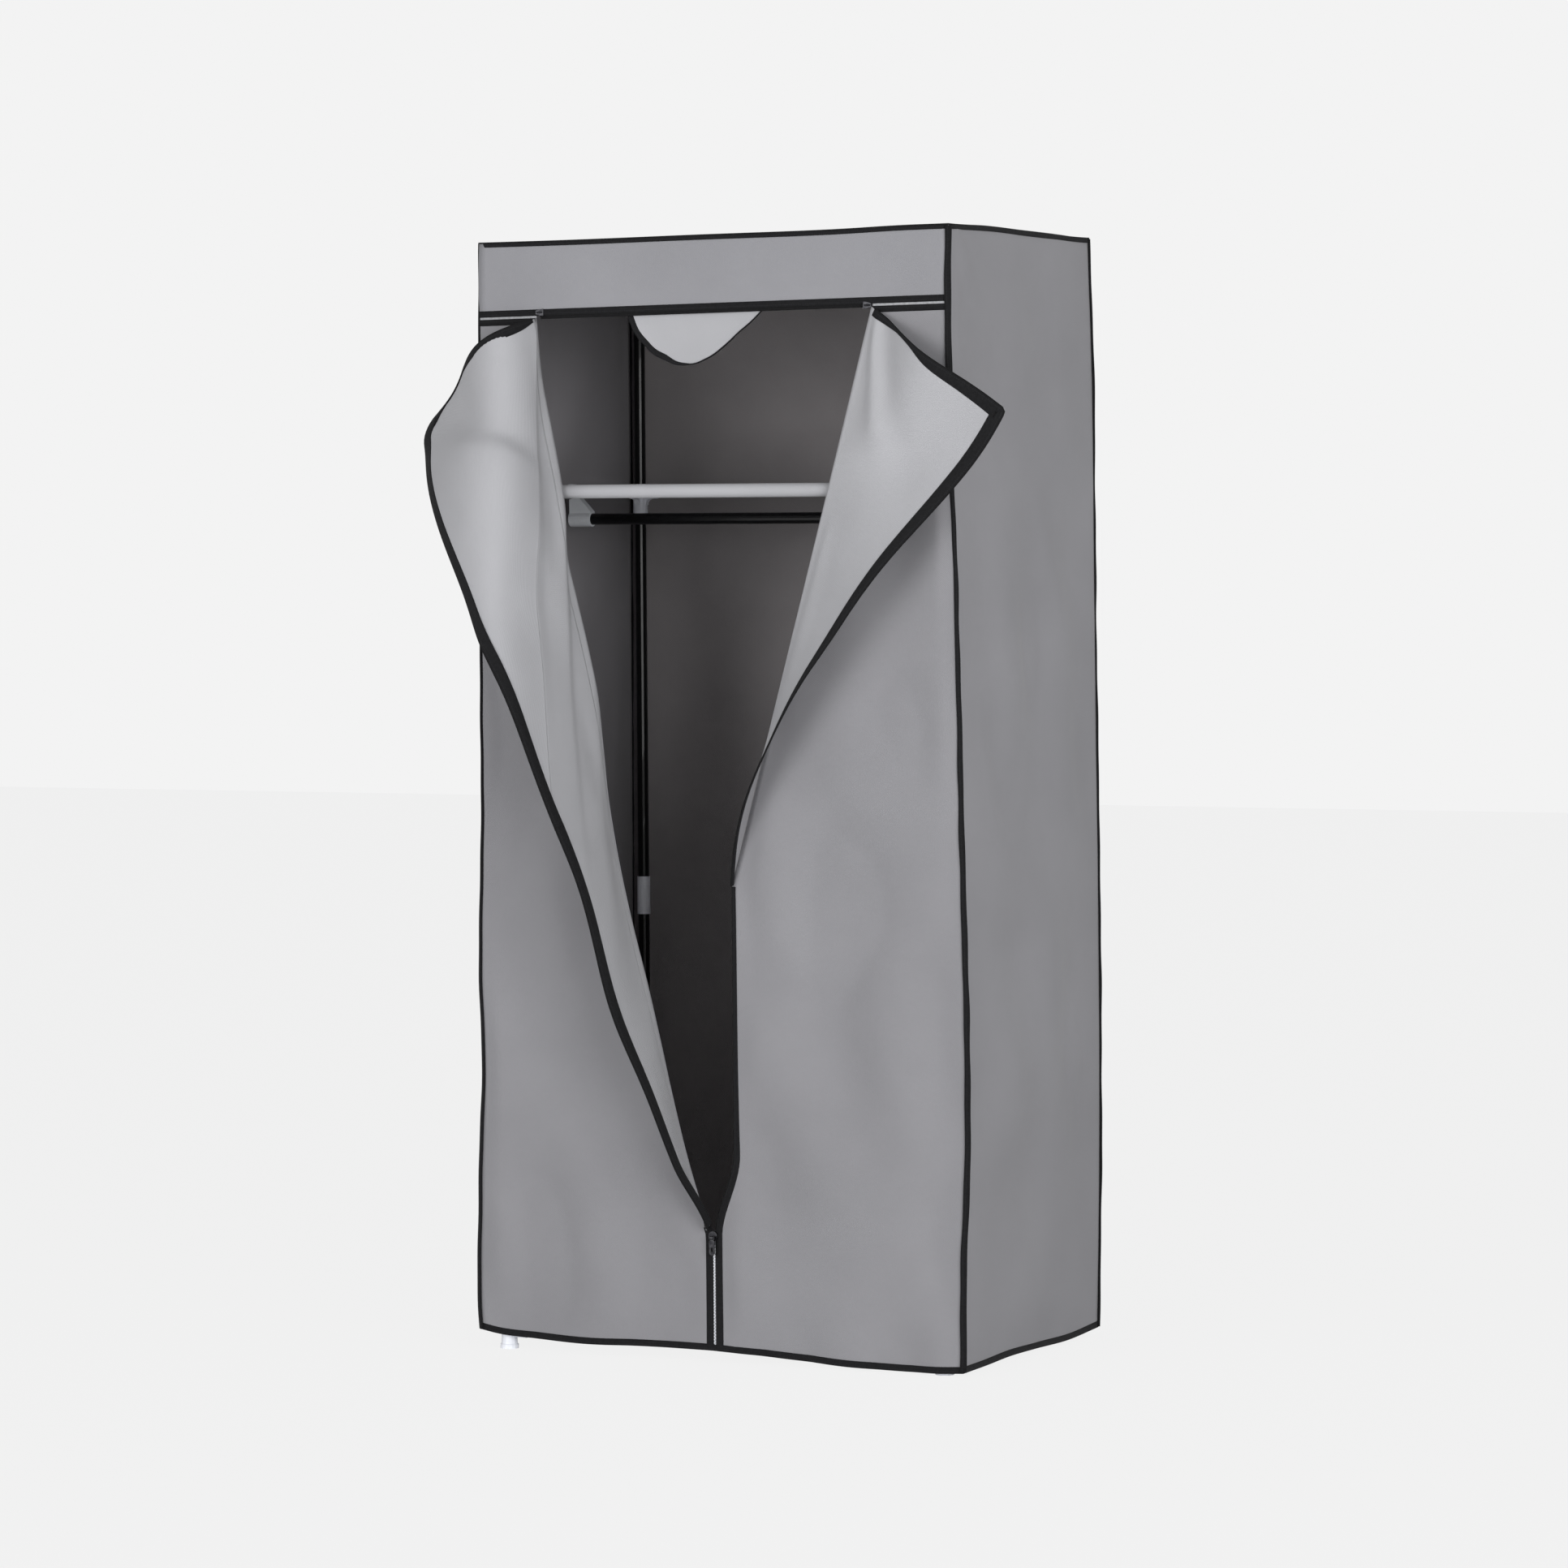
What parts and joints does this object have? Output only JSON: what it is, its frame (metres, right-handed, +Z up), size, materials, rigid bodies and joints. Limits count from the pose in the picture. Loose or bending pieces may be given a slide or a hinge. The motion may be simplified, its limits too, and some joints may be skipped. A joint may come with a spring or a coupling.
{
  "type": "portable fabric wardrobe",
  "caption": "Portable wardrobe: tube frame in plastic connectors, cloth shelf, hanging rail, grey cloth cover with bound edges, and door flaps folded open from a centre zip.",
  "frame": {"origin": "centre of the footprint of the whole part with its doors folded open, on the floor", "axes": "+Z up, -Y towards the person who faces the doors, +X to that person's right"},
  "size_m": [0.8968, 0.6246, 1.55],
  "materials": {
    "cover_cloth": "matt non-woven cloth, grey outside",
    "lining_cloth": "matt non-woven cloth, lighter inner face",
    "binding": "black woven edge binding",
    "tube": "satin black enamel",
    "moulding": "moulded grey plastic",
    "zip_metal": "dark enamelled zip slider",
    "zip_tape": "light woven zip tape with moulded teeth"
  },
  "bodies": {
    "root": {"lower_upright_front_left": "tube", "middle_upright_front_left": "tube", "upper_upright_front_left": "tube", "lower_upright_front_right": "tube", "middle_upright_front_right": "tube", "upper_upright_front_right": "tube", "lower_upright_rear_left": "tube", "middle_upright_rear_left": "tube", "upper_upright_rear_left": "tube", "lower_upright_rear_right": "tube", "middle_upright_rear_right": "tube", "upper_upright_rear_right": "tube", "bottom_tube_front": "tube", "bottom_tube_rear": "tube", "bottom_tube_left": "tube", "bottom_tube_right": "tube", "shelf_tube_front": "tube", "shelf_tube_rear": "tube", "shelf_tube_left": "tube", "shelf_tube_right": "tube", "top_tube_front": "tube", "top_tube_rear": "tube", "top_tube_left": "tube", "top_tube_right": "tube", "hanging_rail": "tube", "foot_connector_front_left": "moulding", "shelf_connector_front_left": "moulding", "top_connector_front_left": "moulding", "joining_sleeve_front_left": "moulding", "foot_connector_front_right": "moulding", "shelf_connector_front_right": "moulding", "top_connector_front_right": "moulding", "joining_sleeve_front_right": "moulding", "foot_connector_rear_left": "moulding", "shelf_connector_rear_left": "moulding", "top_connector_rear_left": "moulding", "joining_sleeve_rear_left": "moulding", "foot_connector_rear_right": "moulding", "shelf_connector_rear_right": "moulding", "top_connector_rear_right": "moulding", "joining_sleeve_rear_right": "moulding", "rail_bracket_left": "moulding", "rail_bracket_right": "moulding", "cover_top": "cover_cloth", "cover_back": "cover_cloth", "cover_left_side": "cover_cloth", "cover_right_side": "cover_cloth", "cover_header": "cover_cloth", "front_left_panel": "cover_cloth", "front_right_panel": "cover_cloth", "header_tab": "lining_cloth", "shelf_cloth": "lining_cloth", "zip_chain": "zip_tape"},
    "zip_slider": {"zip_slider": "zip_metal"},
    "zip_pull_tab": {"zip_pull_tab": "zip_metal"},
    "left_door": {"left_door_flap": "lining_cloth"},
    "left_door_corner": {"left_door_corner": "lining_cloth"},
    "right_door": {"right_door_flap": "lining_cloth"},
    "left_top_slider": {"left_top_slider": "zip_metal"},
    "right_top_slider": {"right_top_slider": "zip_metal"}
  },
  "joints": [
    {"name": "centre_zip", "type": "slide", "parent": "root", "child": "zip_slider", "axis": [0, 0, 1], "range_m": [0, 1.255]},
    {"name": "pull_tab_swing", "type": "hinge", "parent": "zip_slider", "child": "zip_pull_tab", "pos_m": [0.00611, -0.15156, 0.1726], "axis": [-1, 0, 0], "range_deg": [0, 150]},
    {"name": "left_door_fold", "type": "hinge", "parent": "root", "child": "left_door", "pos_m": [-0.25789, -0.14606, 1.441], "axis": [-0.1967, 0, 0.9805], "range_deg": [0, 111.16]},
    {"name": "left_corner_fold", "type": "hinge", "parent": "left_door", "child": "left_door_corner", "pos_m": [-0.26675, -0.14606, 1.48512], "axis": [-0.0838, 0.2747, 0.9579], "range_deg": [0, 85.95]},
    {"name": "right_door_fold", "type": "hinge", "parent": "root", "child": "right_door", "pos_m": [0.25511, -0.14606, 1.441], "axis": [-0.267, 0, -0.9637], "range_deg": [0, 165.02]},
    {"name": "left_top_zip", "type": "slide", "parent": "root", "child": "left_top_slider", "axis": [1, 0, 0], "range_m": [0, 0.244]},
    {"name": "right_top_zip", "type": "slide", "parent": "root", "child": "right_top_slider", "axis": [-1, 0, 0], "range_m": [0, 0.229]}
  ],
  "couplings": [
    {"joint": "left_door_fold", "follows": "centre_zip", "rad_per_m": 1.5458},
    {"joint": "left_corner_fold", "follows": "centre_zip", "rad_per_m": 1.1952},
    {"joint": "right_door_fold", "follows": "centre_zip", "rad_per_m": 2.2948},
    {"joint": "left_top_zip", "follows": "centre_zip", "ratio": 0.19442},
    {"joint": "right_top_zip", "follows": "centre_zip", "ratio": 0.18247}
  ]
}
